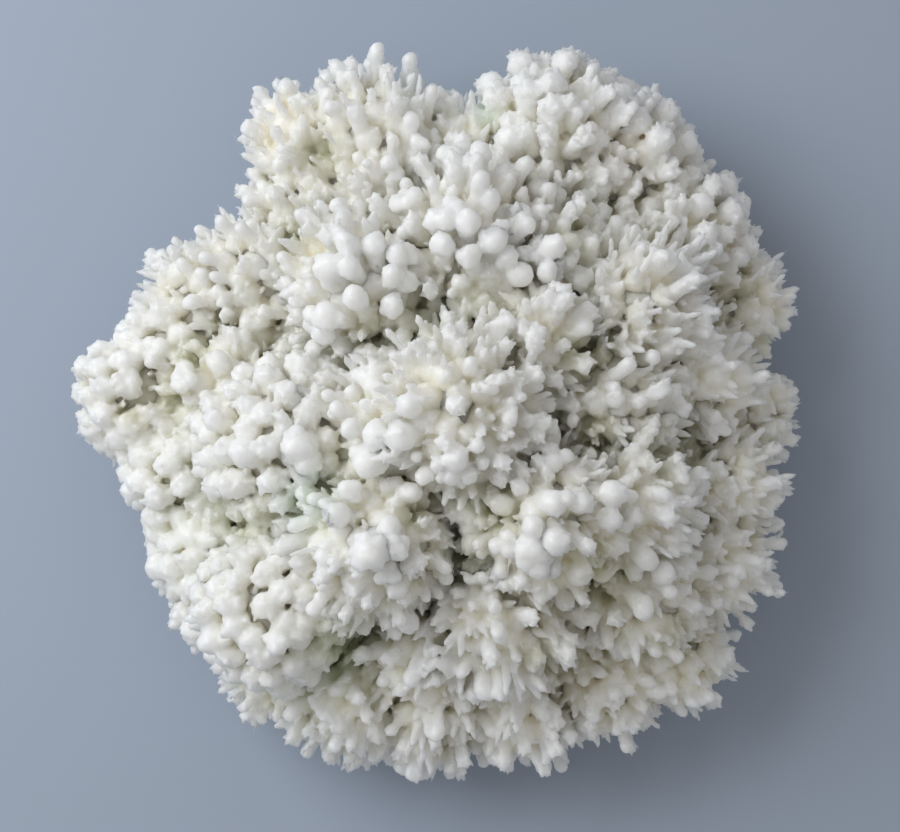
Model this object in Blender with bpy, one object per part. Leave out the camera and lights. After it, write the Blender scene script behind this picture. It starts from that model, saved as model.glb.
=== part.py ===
"""A white aragonite cluster, one grown piece of mineral, cut off flat where it sat on its rock.

A low mound of rounded lobes is closely covered with crystals: pointed prisms, blunt fingers and round
knobs, which grow out of the lobes side by side and are one closed solid with them.
+X is the right side and +Y the far side of the cluster, as seen from above.
"""

import math

import bmesh
import bpy
import numpy as np
from mathutils import Matrix, Vector
from mathutils.bvhtree import BVHTree

MM = 0.001

# The mass under the lobes is an ellipsoid, cut off flat at height 0.
BASE_CENTRE = Vector((0.0, -1.0, 7.0)) * MM
BASE_RADII = Vector((46.0, 45.0, 30.0)) * MM
# The lobes are fused to one skin on cubes of this size.
FUSING_CUBE = 1.6 * MM

# Lobes: x, y, z and radius of the rounded mass in mm, how far its crystals stand out, their habit.
LOBES = {
    "north_west_tip": (-25.5, 51.5, 27.0, 8.5, 6.5, "knob"),
    "north_west_crest": (-11.5, 51.0, 28.0, 11.5, 7.5, "finger"),
    "north_west_flank": (-24.0, 41.0, 25.0, 9.0, 6.5, "finger"),
    "north_saddle": (6.0, 49.0, 26.0, 8.5, 6.5, "finger"),
    "north_east_crest": (23.0, 51.5, 26.0, 13.0, 7.5, "point"),
    "north_east_shoulder": (36.0, 47.0, 24.0, 11.0, 7.0, "point"),
    "east_rim_far": (45.5, 33.0, 21.0, 11.5, 7.0, "point"),
    "east_rim_near": (57.0, 22.0, 18.0, 9.0, 5.5, "point"),
    "east_knob": (60.0, 1.0, 17.0, 7.5, 4.5, "point"),
    "east_shoulder": (48.0, 7.0, 26.0, 10.0, 6.5, "point"),
    "south_east_rim_far": (53.0, -13.5, 23.0, 9.0, 6.5, "point"),
    "south_east_rim_near": (53.0, -27.5, 22.0, 8.5, 6.5, "point"),
    "south_east_corner": (45.5, -45.5, 18.0, 8.5, 6.0, "finger"),
    "south_rim_1": (32.5, -50.0, 19.0, 9.0, 6.5, "finger"),
    "south_rim_2": (17.0, -54.0, 18.0, 9.5, 7.5, "finger"),
    "south_rim_3": (0.0, -54.5, 17.0, 10.0, 7.5, "finger"),
    "south_rim_4": (-17.5, -53.0, 18.0, 9.5, 7.0, "finger"),
    "south_west_rim": (-30.0, -47.0, 16.0, 8.5, 6.0, "finger"),
    "south_west_lump": (-29.5, -36.0, 32.0, 12.5, 5.0, "knob"),
    "south_west_shelf": (-40.5, -35.0, 22.0, 7.5, 5.0, "knob"),
    "west_rim_near": (-42.5, -24.0, 20.0, 9.5, 5.5, "knob"),
    "west_rim_far": (-47.5, -10.5, 22.0, 9.0, 5.5, "knob"),
    "west_knob": (-57.0, 3.5, 22.0, 9.5, 5.0, "knob"),
    "west_shelf": (-50.0, 14.0, 22.0, 7.5, 5.0, "knob"),
    "west_bridge": (-40.5, 6.0, 27.0, 9.5, 6.0, "knob"),
    "north_west_ridge_low": (-43.5, 22.5, 24.0, 9.5, 6.0, "finger"),
    "north_west_ridge_high": (-33.0, 27.5, 28.0, 9.0, 6.0, "finger"),
    "north_middle": (5.5, 30.5, 38.0, 12.0, 8.0, "knob"),
    "north_middle_east": (20.0, 28.0, 37.0, 8.5, 7.5, "knob"),
    "north_west_middle": (-13.5, 23.5, 38.0, 11.5, 7.0, "knob"),
    "summit": (4.0, -1.0, 45.0, 14.0, 8.0, "point"),
    "summit_east": (18.0, 13.0, 42.0, 9.0, 8.0, "point"),
    "summit_west": (-9.5, -4.0, 41.0, 10.0, 7.0, "knob"),
    "west_middle": (-26.5, -6.0, 34.0, 14.0, 6.0, "knob"),
    "south_west_middle": (-11.0, -24.0, 41.0, 12.5, 7.0, "knob"),
    "knob_mound": (20.5, -20.5, 44.0, 11.5, 7.0, "knob"),
    "knob_mound_east": (35.0, -17.5, 37.0, 10.0, 7.5, "point"),
    "east_middle": (36.5, 19.0, 35.0, 11.5, 8.0, "point"),
    "east_low": (32.0, 2.0, 37.0, 10.0, 8.0, "point"),
    "south_east_middle": (38.0, -32.5, 30.0, 10.0, 7.0, "finger"),
    "south_middle": (12.0, -37.0, 33.0, 11.0, 8.0, "finger"),
    "south_middle_low": (-2.0, -44.0, 25.0, 9.5, 7.0, "finger"),
    "south_west_low": (-15.0, -42.0, 19.0, 8.0, 7.0, "finger"),
}

# Crystals stand around this point, each at least one spacing from the next.
HEART = Vector((2.0, 0.0, 12.0)) * MM
CRYSTAL_SPACING = 5.7 * MM
BARE_SPACING = 12.0 * MM
DIRECTIONS_TRIED = 14000
FAR_OUT = 200.0 * MM
# Each habit's shoulder below the tip: its width as a share of the root's, and how far up it is.
SHOULDERS = {"point": (0.52, 0.6), "finger": (0.6, 0.82), "knob": (0.82, 0.62)}
REACH_SHARES = (0.85, 1.1)
VALLEY_DEPTH = 0.6 * MM
# Below the first height the mass is bare, and no crystal dips its tip below the second.
LOWEST_ROOT = 4.0 * MM
LOWEST_TIP = 1.5 * MM
# Corners around the flat cut that are closer than this become one.
SHORTEST_CUT_EDGE = 0.4 * MM
# A crystal stands up from the skin, turned away from the heart and a little askew.
OUTWARD_SHARE = 0.4
ASKEW = 0.16
# One that would run into another is cut back to this share of its length, until it is clear.
CUT_BACK = 0.82
CUT_BACK_ROUNDS = 25
SEED = 7

# The middle of the finished outline, which the model's origin lies under
MIDDLE = Vector((0.6, -0.1, 0.0)) * MM


def clear_scene():
    """Remove whatever the opened file holds."""
    for obj in list(bpy.data.objects):
        bpy.data.objects.remove(obj)


def new_object(name, shape):
    """Put a bmesh into the scene as an object of the given name."""
    mesh = bpy.data.meshes.new(name)
    shape.to_mesh(mesh)
    shape.free()
    obj = bpy.data.objects.new(name, mesh)
    bpy.context.scene.collection.objects.link(obj)
    return obj


def evaluated_shape(obj):
    """The object's mesh with its modifiers worked in, as a bmesh."""
    bpy.context.view_layer.update()
    graph = bpy.context.evaluated_depsgraph_get()
    shape = bmesh.new()
    shape.from_mesh(obj.evaluated_get(graph).to_mesh())
    return shape


def lobe_skin():
    """The lobes and the mass beneath them fused to one skin, ready for rays to be cast at it."""
    shape = bmesh.new()
    base = Matrix.Translation(BASE_CENTRE) @ Matrix.Diagonal((*BASE_RADII, 1.0))
    bmesh.ops.create_icosphere(shape, subdivisions=4, radius=1.0, matrix=base)
    for x, y, z, radius, _, _ in LOBES.values():
        place = Matrix.Translation(Vector((x, y, z)) * MM)
        bmesh.ops.create_icosphere(shape, subdivisions=3, radius=radius * MM, matrix=place)
    loose = new_object("loose_lobes", shape)
    fuse = loose.modifiers.new("fuse", "REMESH")
    fuse.mode = "VOXEL"
    fuse.voxel_size = FUSING_CUBE
    fused = evaluated_shape(loose)
    bpy.data.objects.remove(loose)
    skin = BVHTree.FromBMesh(fused)
    fused.free()
    return skin


def outermost(skin, direction):
    """The outermost point of the skin in a direction from the heart."""
    return skin.ray_cast(HEART + direction * FAR_OUT, -direction)[0]


def nearest_lobe(point):
    """The values of the lobe whose surface is nearest to a point."""
    def depth(lobe):
        x, y, z, radius = lobe[:4]
        return (point - Vector((x, y, z)) * MM).length - radius * MM
    return min(LOBES.values(), key=depth)


def spread_roots(skin, rng):
    """Points all over the skin as seen from the heart, at least one spacing apart."""
    roots = []
    taken = np.empty((0, 3))
    for sample in rng.normal(size=(DIRECTIONS_TRIED, 3)):
        root = outermost(skin, Vector(sample).normalized())
        spacing = CRYSTAL_SPACING if root.z > LOWEST_ROOT else BARE_SPACING
        if len(taken) and np.min(np.linalg.norm(taken - np.array(root), axis=1)) < spacing:
            continue
        taken = np.vstack((taken, root))
        roots.append(root)
    return roots


def net_between(roots):
    """The closed net of triangles between neighbouring roots."""
    net = bmesh.new()
    places = {}
    for root in roots:
        places[net.verts.new((root - HEART).normalized())] = root
    bmesh.ops.convex_hull(net, input=net.verts)
    for vert, root in places.items():
        vert.co = root
    net.normal_update()
    return net


def faces_around(vert):
    """The net's faces at a root in turning order, against the clock as seen from outside."""
    frame = (vert.co - HEART).to_track_quat("Z", "Y").inverted()

    def turn(face):
        flat = frame @ (face.calc_center_median() - HEART)
        return math.atan2(flat.y, flat.x)
    return sorted(vert.link_faces, key=turn)


def growth_of(root, skin_direction, reach, rng):
    """From a crystal's root to its tip."""
    outward = (root - HEART).normalized()
    askew = Vector(rng.normal(0.0, ASKEW, size=3))
    direction = (skin_direction + outward * OUTWARD_SHARE + askew).normalized()
    growth = direction * reach * MM * rng.uniform(*REACH_SHARES)
    growth.z = max(growth.z, LOWEST_TIP - root.z)
    return growth


class Crystal:
    """One crystal of the crust: a ring of shoulders and a tip over the valleys around its root."""

    def __init__(self, shape, root, growth, corners, habit):
        self.root = root
        self.growth = growth
        self.corners = corners
        self.width, self.height = SHOULDERS[habit]
        self.shoulders = [shape.verts.new() for _ in corners]
        self.tip = shape.verts.new()
        self.place()
        for here in range(len(corners)):
            after = (here + 1) % len(corners)
            sides = (corners[here], corners[after], self.shoulders[after], self.shoulders[here])
            shape.faces.new(sides[:3])
            shape.faces.new((sides[0], sides[2], sides[3]))
            shape.faces.new((sides[3], sides[2], self.tip))

    def place(self):
        """Put the shoulders and the tip where the present growth takes them."""
        self.tip.co = self.root + self.growth
        for shoulder, corner in zip(self.shoulders, self.corners):
            shoulder.co = self.root + self.growth * self.height + (corner.co - self.root) * self.width
            shoulder.co.z = max(shoulder.co.z, LOWEST_TIP)


def cut_back_crossing(shape, crystals):
    """Shorten the crystals that cross each other until none do."""
    owner = {}
    for crystal in crystals:
        for vert in (crystal.tip, *crystal.shoulders):
            owner[vert] = crystal
    for _ in range(CUT_BACK_ROUNDS):
        shape.faces.ensure_lookup_table()
        tree = BVHTree.FromBMesh(shape)
        crossing = {index for pair in tree.overlap(tree) for index in pair}
        too_long = {owner[vert] for index in crossing for vert in shape.faces[index].verts if vert in owner}
        if not too_long:
            break
        for crystal in too_long:
            crystal.growth *= CUT_BACK
            crystal.place()


def crust(skin):
    """The skin covered with crystals that stand side by side, with a valley between each two."""
    rng = np.random.default_rng(SEED)
    net = net_between(spread_roots(skin, rng))
    shape = bmesh.new()
    valleys = {}
    for face in net.faces:
        direction = (face.calc_center_median() - HEART).normalized()
        valleys[face] = shape.verts.new(outermost(skin, direction) - direction * VALLEY_DEPTH)
    crystals = []
    for vert in net.verts:
        corners = [valleys[face] for face in faces_around(vert)]
        if vert.co.z < LOWEST_ROOT:
            middle = shape.verts.new(vert.co)
            for here, after in zip(corners, corners[1:] + corners[:1]):
                shape.faces.new((here, after, middle))
            continue
        reach, habit = nearest_lobe(vert.co)[4:]
        growth = growth_of(vert.co, vert.normal, reach, rng)
        crystals.append(Crystal(shape, vert.co.copy(), growth, corners, habit))
    net.free()
    cut_back_crossing(shape, crystals)
    return shape


def cut_flat(shape):
    """Cut everything below height 0 away and close the cut, with no short edges around it."""
    everything = shape.verts[:] + shape.edges[:] + shape.faces[:]
    bmesh.ops.bisect_plane(shape, geom=everything, plane_co=(0, 0, 0), plane_no=(0, 0, 1), clear_inner=True)
    rim_verts = [vert for vert in shape.verts if vert.is_boundary]
    bmesh.ops.remove_doubles(shape, verts=rim_verts, dist=SHORTEST_CUT_EDGE)
    rim = [edge for edge in shape.edges if edge.is_boundary]
    bmesh.ops.contextual_create(shape, geom=rim)


def aragonite_white():
    """The mineral's own colour: a slightly greenish white, half matt."""
    material = bpy.data.materials.new("aragonite_white")
    material.use_nodes = True
    shader = material.node_tree.nodes["Principled BSDF"]
    shader.inputs["Base Color"].default_value = (0.80, 0.80, 0.76, 1.0)
    shader.inputs["Roughness"].default_value = 0.45
    shader.inputs["Metallic"].default_value = 0.0
    return material


def build():
    """Make the cluster: lobes and crystals in one closed solid."""
    clear_scene()
    shape = crust(lobe_skin())
    cut_flat(shape)
    bmesh.ops.translate(shape, verts=shape.verts, vec=-MIDDLE)
    cluster = new_object("aragonite_cluster", shape)
    cluster.data.materials.append(aragonite_white())


build()
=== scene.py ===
"""The looks of a white aragonite cluster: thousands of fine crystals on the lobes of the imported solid.

Toothed crowns, spikes, ragged blades, blunt fingers, knobs and sugary lumps grow from the lobes' skin.
Each region's crystals are fused to one closed mesh, rooted in a closed mesh of the lobes themselves.
"""

import math

import bmesh
import bpy
import numpy as np
from mathutils import Euler, Matrix, Quaternion, Vector
from mathutils.bvhtree import BVHTree


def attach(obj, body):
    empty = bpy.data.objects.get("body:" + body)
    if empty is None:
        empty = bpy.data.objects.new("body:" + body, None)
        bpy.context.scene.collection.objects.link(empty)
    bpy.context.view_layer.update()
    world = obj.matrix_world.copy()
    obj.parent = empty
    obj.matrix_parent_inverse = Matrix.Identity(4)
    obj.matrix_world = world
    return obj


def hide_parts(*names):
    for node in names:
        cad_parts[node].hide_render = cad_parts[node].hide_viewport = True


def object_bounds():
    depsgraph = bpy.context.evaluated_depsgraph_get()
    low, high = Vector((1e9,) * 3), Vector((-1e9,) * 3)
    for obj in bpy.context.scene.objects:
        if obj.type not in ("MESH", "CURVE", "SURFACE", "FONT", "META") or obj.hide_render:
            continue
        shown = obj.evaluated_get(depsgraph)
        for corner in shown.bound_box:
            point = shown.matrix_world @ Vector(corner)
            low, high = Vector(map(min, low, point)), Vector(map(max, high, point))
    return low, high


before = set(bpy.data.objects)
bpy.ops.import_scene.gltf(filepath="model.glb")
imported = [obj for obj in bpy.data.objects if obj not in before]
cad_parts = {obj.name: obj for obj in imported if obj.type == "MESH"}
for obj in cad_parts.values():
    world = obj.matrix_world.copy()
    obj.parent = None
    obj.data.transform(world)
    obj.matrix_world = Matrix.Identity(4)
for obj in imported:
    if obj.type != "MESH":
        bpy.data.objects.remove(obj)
cad_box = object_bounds()

MM = 0.001
NODE = "aragonite_cluster"
BODY = "root"
# The points' colour attribute, which carries painted shade and painted light tints
COLOUR_NAME = "stone_colour_and_painted_shade"

# The solid's own lobes, in the places they have before its outline's middle becomes the origin.
MIDDLE = Vector((0.6, -0.1, 0.0)) * MM
BASE_CENTRE = Vector((0.0, -1.0, 7.0)) * MM
BASE_RADII = Vector((46.0, 45.0, 30.0)) * MM
# Lobes: x, y, z and radius of the rounded mass in mm, how far its crystals stand out, their habit.
LOBES = {
    "north_west_tip": (-25.5, 51.5, 27.0, 8.5, 6.5, "knob"),
    "north_west_crest": (-11.5, 51.0, 28.0, 11.5, 7.5, "finger"),
    "north_west_flank": (-24.0, 41.0, 25.0, 9.0, 6.5, "finger"),
    "north_saddle": (6.0, 49.0, 26.0, 8.5, 6.5, "finger"),
    "north_east_crest": (23.0, 51.5, 26.0, 13.0, 7.5, "sugar"),
    "north_east_shoulder": (36.0, 47.0, 24.0, 11.0, 7.0, "sugar"),
    "east_rim_far": (45.5, 33.0, 21.0, 11.5, 7.0, "sugar"),
    "east_rim_near": (57.0, 22.0, 18.0, 9.0, 5.5, "point"),
    "east_knob": (60.0, 1.0, 17.0, 7.5, 4.5, "point"),
    "east_shoulder": (48.0, 7.0, 26.0, 10.0, 6.5, "point"),
    "south_east_rim_far": (53.0, -13.5, 23.0, 9.0, 6.5, "point"),
    "south_east_rim_near": (53.0, -27.5, 22.0, 8.5, 6.5, "point"),
    "south_east_corner": (45.5, -45.5, 18.0, 8.5, 6.0, "finger"),
    "south_rim_1": (32.5, -50.0, 19.0, 9.0, 6.5, "finger"),
    "south_rim_2": (17.0, -54.0, 18.0, 9.5, 7.5, "finger"),
    "south_rim_3": (0.0, -54.5, 17.0, 10.0, 7.5, "finger"),
    "south_rim_4": (-17.5, -53.0, 18.0, 9.5, 7.0, "finger"),
    "south_west_rim": (-30.0, -47.0, 16.0, 8.5, 6.0, "finger"),
    "south_west_lump": (-29.5, -36.0, 32.0, 12.5, 5.0, "crust"),
    "south_west_shelf": (-40.5, -35.0, 22.0, 7.5, 5.0, "crust"),
    "west_rim_near": (-42.5, -24.0, 20.0, 9.5, 5.5, "crust"),
    "west_rim_far": (-47.5, -10.5, 22.0, 9.0, 5.5, "crust"),
    "west_knob": (-57.0, 3.5, 22.0, 9.5, 5.0, "crust"),
    "west_shelf": (-50.0, 14.0, 22.0, 7.5, 5.0, "crust"),
    "west_bridge": (-40.5, 6.0, 27.0, 9.5, 6.0, "knob"),
    "north_west_ridge_low": (-43.5, 22.5, 24.0, 9.5, 6.0, "finger"),
    "north_west_ridge_high": (-33.0, 27.5, 28.0, 9.0, 6.0, "finger"),
    "north_middle": (5.5, 30.5, 38.0, 12.0, 8.0, "knob"),
    "north_middle_east": (20.0, 28.0, 37.0, 8.5, 7.5, "knob"),
    "north_west_middle": (-13.5, 23.5, 38.0, 11.5, 7.0, "knob"),
    "summit": (4.0, -1.0, 45.0, 14.0, 8.0, "point"),
    "summit_east": (18.0, 13.0, 42.0, 9.0, 8.0, "point"),
    "summit_west": (-9.5, -4.0, 41.0, 10.0, 7.0, "knob"),
    "west_middle": (-26.5, -6.0, 34.0, 14.0, 6.0, "crust"),
    "south_west_middle": (-11.0, -24.0, 41.0, 12.5, 7.0, "knob"),
    "knob_mound": (20.5, -20.5, 44.0, 11.5, 7.0, "knob"),
    "knob_mound_east": (35.0, -17.5, 37.0, 10.0, 7.5, "point"),
    "east_middle": (36.5, 19.0, 35.0, 11.5, 8.0, "point"),
    "east_low": (32.0, 2.0, 37.0, 10.0, 8.0, "point"),
    "south_east_middle": (38.0, -32.5, 30.0, 10.0, 7.0, "finger"),
    "south_middle": (12.0, -37.0, 33.0, 11.0, 8.0, "finger"),
    "south_middle_low": (-2.0, -44.0, 25.0, 9.5, 7.0, "finger"),
    "south_west_low": (-15.0, -42.0, 19.0, 8.0, 7.0, "finger"),
}
# Each lobe tapers back to the heart it radiates from: share of the way out, share of its radius
HEART = Vector((2.0, 0.0, 12.0)) * MM
LOBE_ROOTS = ((1.0, 1.0), (0.84, 0.96), (0.68, 0.9), (0.52, 0.85))
# How finely shapes are fused, how often the fused skin is smoothed, and the triangles a piece may have
LOBE_CUBE = 1.6 * MM
LOBE_SMOOTHING = 8
LOBE_TRIANGLES = 20000
CRYSTAL_CUBE = 0.3 * MM
CRYSTAL_SMOOTHING = 1
REGION_TRIANGLES = 158000
# Points this far under the lobes' skin are hidden, and the lobes' own piece lies this far under it
HIDDEN_DEPTH = 0.5 * MM
LOBE_SINK = 1.0 * MM

# Share of each kind of crystal on a lobe of each habit.
HABITS = {
    "point": {"crown": 0.25, "fork": 0.5, "fan": 0.15, "finger": 0.1},
    "finger": {"finger": 0.3, "crown": 0.25, "fork": 0.35, "fan": 0.1},
    "knob": {"knob": 0.12, "grapes": 0.08, "finger": 0.3, "crown": 0.4, "fork": 0.1},
    "crust": {"nodules": 0.75, "crown": 0.2, "finger": 0.05},
    "sugar": {"sugar": 0.55, "fan": 0.3, "crown": 0.15},
}
VARIANTS = 12
GRID_CELL = 2.0 * MM
# Uneven bumps that roughen the skin of all crystals: width and height
BUMPS = ((2.6 * MM, 0.7 * MM), (1.1 * MM, 0.45 * MM))
# Regions, one piece each: a summit and five equal sectors around it
SUMMIT_MIDDLE = Vector((3.0, 0.0)) * MM
SUMMIT_RADIUS = 29.0 * MM
SECTORS = ("east", "north", "west", "south_west", "south_east")
# Tries for each square of one spacing, when places are sought on the skin
TRIES = 9
# Sprays of larger crystals: how far apart, shares of their lobe's reach, sizes, and the least length
SPRAY_SPACING = 3.5 * MM
REACH_SHARES = (0.7, 1.1)
CRUST_REACH_SHARES = (0.75, 1.0)
SPRAY_SIZES = (0.75, 1.15)
LEAST_SPRAY = 1.2 * MM
# The least share of a spray's direction that points off the skin
LEAST_OFF_SKIN = 0.2
# Stubs between the sprays: how far apart, reach in mm, sizes, how much askew, and the least length
STUB_SPACING = 2.1 * MM
STUB_REACH = (2.0, 4.0)
STUB_SIZES = (0.8, 1.3)
STUB_ASKEW = 0.35
LEAST_STUB = 0.5 * MM
# Turn from one tooth of a stalk to the next, near the golden angle
GOLDEN_TURN = 2.4
# A crystal keeps clear of other lobes: how many mm off its root it starts to look for them, how many of
# its lengths ahead it looks, and the share of the free way that it takes
LOOK_FROM = 1.5
LOOK_AHEAD = 1.3
FREE_SHARE = 0.9
# Shares of its length that a crystal tries, one after the other, until it stays inside the solid's box
SHORTENED = (1.0, 0.85, 0.7, 0.5)
# A crystal's root is sunk at least this far, and stands no lower than LOWEST_ROOT, its tip than LOWEST_TIP
LEAST_DEPTH = 1.0 * MM
LOWEST_ROOT = 2.5 * MM
LOWEST_TIP = 0.8 * MM
# Lumps that thicken the ground: their radii in mm and how far their middles lie above the skin
GROUND_LUMP = (2.3, 3.2)
GROUND_LUMP_LEVEL = -1.0 * MM
CRUST_LUMP = (2.0, 2.8)
CRUST_LUMP_LEVEL = 0.6 * MM
# Nodules that stud a crust's lump: how many, and their radii in mm
CRUST_LUMP_NODULES = 22
CRUST_LUMP_NODULE = (0.5, 1.0)
# A spray's direction: shares of the way off its lobe, off the skin and off the growth's heart
GROWTH_HEART = Vector((5.0, -5.0, 10.0)) * MM
ALONG_SHARE = 0.35
SKIN_SHARE = 0.3
OUTWARD_SHARE = 0.8
ASKEW = 0.13
SEED = 11
# How far inside the solid's box every crystal stays
INSIDE = 0.2 * MM

# Places seen by the photo's camera, as x and y in mm on the level of the rim, read off the photo.
# Hollows and hills of the ground: place, radius and how far the ground is sunk or raised, all in mm
HOLLOWS = (
    (-22.4, 51.3, 4.0, 3.0), (-26.8, 34.2, 4.0, 3.5), (27.4, 34.2, 5.0, 5.0), (-3.0, 19.0, 5.0, 4.0),
    (6.5, 22.2, 4.0, 4.0), (-12.5, 16.2, 4.0, 3.5), (27.4, 11.4, 4.5, 2.5), (30.2, -2.9, 4.0, 2.5),
    (44.5, -6.7, 6.5, 5.0), (-46.7, 12.0, 4.0, 3.0), (-50.2, 3.2, 3.5, 3.0), (-58.1, 0.0, 3.0, 1.5),
    (-35.7, -20.3, 4.5, 4.0), (9.3, -18.1, 5.5, 4.5), (6.5, -26.6, 4.0, 4.0), (-4.9, -19.0, 3.0, 2.5),
    (31.2, -30.4, 6.0, 5.0), (19.8, -46.6, 4.0, 3.5), (-18.2, -42.8, 6.0, 5.0), (57.8, 23.8, 4.5, 3.5),
    (64.4, 13.3, 3.5, 2.0), (45.4, -42.8, 4.0, 3.0),
)
HILLS = (
    (29.3, 56.1, 5.0, 1.0), (12.2, 49.4, 5.0, 1.5), (-20.1, 32.3, 5.0, 1.5), (22.6, 31.4, 4.5, 1.5),
    (38.8, 20.0, 6.0, 1.5), (19.8, 18.1, 4.5, 1.5), (0.8, 5.7, 5.0, 1.0), (-7.8, -1.0, 5.0, 1.5),
    (4.6, -6.7, 4.5, 1.0), (-13.5, -23.8, 6.0, 1.5), (21.3, -19.0, 6.5, 2.0), (28.3, -14.3, 4.0, 1.0),
    (33.4, -19.0, 4.0, 1.0), (39.7, -16.2, 4.5, 1.0), (55.9, 6.7, 5.0, 1.5), (64.4, -12.4, 4.0, 1.0),
    (-40.1, -32.3, 5.5, 1.5), (53.0, -32.3, 5.0, 1.0), (38.8, -24.7, 4.5, 1.0), (40.7, -42.8, 4.5, 1.0),
    (11.2, -35.2, 4.5, 1.0), (20.7, -42.8, 4.0, 1.0), (-27.7, -52.3, 4.5, 1.0), (-61.9, 6.7, 4.5, 1.0),
)
# How much wider than its radius a hollow or hill runs out
SPREAD = 1.3
# Single large knobs: place and radius in mm
KNOBS = (
    (-29.3, 60.8, 3.2), (6.1, 36.9, 2.3), (10.4, 41.2, 1.7), (15.8, 38.0, 2.3), (6.3, 30.4, 2.5),
    (1.5, 32.7, 2.7), (13.5, 30.2, 2.5), (22.4, 32.5, 2.3), (21.3, 27.6, 2.1), (-0.2, 37.4, 2.5),
    (-16.3, 28.3, 2.1), (-19.9, 27.7, 1.5), (-16.9, 33.1, 2.7), (-11.8, 32.7, 2.7), (-15.4, 22.6, 2.3),
    (-20.3, 19.0, 3.2), (-8.4, 26.6, 2.1), (-5.7, 25.5, 2.1), (-8.4, 21.1, 2.3), (3.0, 23.4, 1.1),
    (20.7, 36.5, 0.8), (-25.6, -5.5, 3.8), (-24.1, -8.9, 2.9), (-36.3, -6.5, 3.4), (-12.9, -8.4, 3.8),
    (-6.7, -3.8, 3.2), (-16.1, -2.5, 1.9), (-11.2, -2.1, 1.7), (-5.1, 2.1, 2.3), (-13.7, 2.5, 1.1),
    (-3.8, -7.8, 1.1), (-6.8, -8.2, 1.1), (3.6, 1.9, 3.4), (-16.1, -14.2, 2.7), (-18.6, -18.6, 2.3),
    (-8.9, -20.9, 2.1), (-12.5, -25.6, 3.8), (-7.6, -24.9, 3.0), (-5.1, -14.6, 2.7), (22.6, -23.6, 3.2),
    (18.4, -20.9, 2.3), (17.3, -25.1, 2.3), (22.0, -16.3, 2.9), (27.2, -16.5, 2.3), (17.9, -5.1, 1.9),
    (14.1, -0.4, 1.5), (8.9, -8.7, 1.3), (8.0, -5.7, 1.5), (3.8, -7.8, 2.7), (26.0, -0.9, 1.3),
    (19.6, -8.7, 1.1), (22.0, -28.7, 1.7), (26.4, -28.3, 1.9), (39.1, -26.6, 2.3), (42.8, -29.6, 2.3),
    (44.3, -33.2, 1.5), (32.9, -19.6, 2.5), (47.7, -22.2, 1.7), (29.6, -35.7, 1.9), (12.3, -41.4, 1.5),
    (18.6, -44.1, 1.9), (11.0, -36.1, 1.5), (22.8, -40.9, 1.3), (39.0, -36.1, 2.7), (35.3, -43.5, 2.7),
    (64.2, -30.0, 3.0), (39.0, -60.6, 2.7), (-29.8, -42.6, 2.7), (-27.0, -50.7, 2.9),
    (-41.0, -42.0, 3.2), (-6.1, -63.5, 2.7), (0.2, -59.5, 1.7), (-9.9, -49.8, 1.3), (-4.6, -49.4, 1.7),
)
# How far a knob's middle stands off the ground, how deep in mm its stalk goes into the ground, and the
# room kept free of other crystals' tips around it
KNOB_RISE = 5.2 * MM
CRUST_KNOB_RISE = 3.2 * MM
STALK_DEPTH = 3.0
KNOB_ROOM = 1.3 * MM
# From this radius in mm on, a knob is a lumpy group; the radius of its middle ball is a share of its own
LARGE_KNOB = 2.4
LARGE_KNOB_HEART = 0.78
SMALL_KNOB_HEART = 0.93

# Painted shade from the root of the crystals to their tips, darkest and olive at the roots down in the
# crevices: share of the way, then red, green and blue
PAINTED_ROOT_SHADE = (
    (0.0, (0.84, 0.805, 0.68)),
    (0.25, (0.92, 0.90, 0.84)),
    (0.6, (0.95, 0.945, 0.925)),
    (1.0, (0.96, 0.96, 0.955)),
)
HIGHEST_RISE = 7.0 * MM
# The finest relief is only shaded: waves to a metre, and their height
GRAIN_SCALE = 2600.0
GRAIN_HEIGHT = 0.15 * MM
# The painted shade in a hollow, a dark olive colour, how much wider than the hollow it reaches, and how fast
# it fades up the crystals
HOLLOW_SHADE = (0.56, 0.555, 0.41)
HOLLOW_SHADE_REACH = 1.5
HOLLOW_SHADE_FADE = 0.7
# The painted shade that multiplies the colour in the valleys between lobes, and how far around a place they
# are looked for
VALLEY_SHADE = (0.86, 0.86, 0.78)
VALLEY_REACH = 6.0 * MM
# How much more than half of the space around is solid where a valley starts, and from there to its depth
VALLEY_START = -0.1
VALLEY_RANGE = 0.3
# The share of a valley's painted shade that is gone at the crystals' tips
VALLEY_SHADE_FADE = 0.5
# Faint stains, and wide tints of painted light: place and radius in mm, colour that multiplies the white
STAINS_AND_LIGHT_TINTS = (
    (-23.9, -16.2, 9.0, (0.90, 1.0, 0.95)),
    (-17.3, -44.7, 7.0, (0.93, 1.0, 0.95)),
    (9.3, 58.0, 4.0, (0.87, 1.0, 0.94)),
    (-6.8, 65.2, 5.0, (0.95, 1.0, 1.0)),
    (-24.0, 29.5, 3.5, (1.0, 0.95, 0.87)),
    (-28.7, 59.8, 6.0, (1.0, 0.98, 0.94)),
    (-32.5, 54.2, 6.0, (1.0, 0.98, 0.95)),
    (36.0, 52.0, 9.0, (1.0, 0.975, 0.965)),
    (16.0, 44.0, 8.0, (1.0, 0.975, 0.96)),
    # The wide rows from here tint whole sides: greenish at the left, and as painted light cool at the top
    # and upper right and warm on the shaded lower right
    (-10.0, 46.0, 16.0, (0.99, 0.99, 1.0)),
    (-48.0, -20.0, 22.0, (0.985, 1.0, 0.975)),
    (-25.0, -50.0, 18.0, (0.98, 1.0, 0.965)),
    (30.0, -35.0, 26.0, (1.0, 0.985, 0.94)),
    (55.0, 25.0, 22.0, (0.99, 0.985, 1.0)),
)

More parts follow.
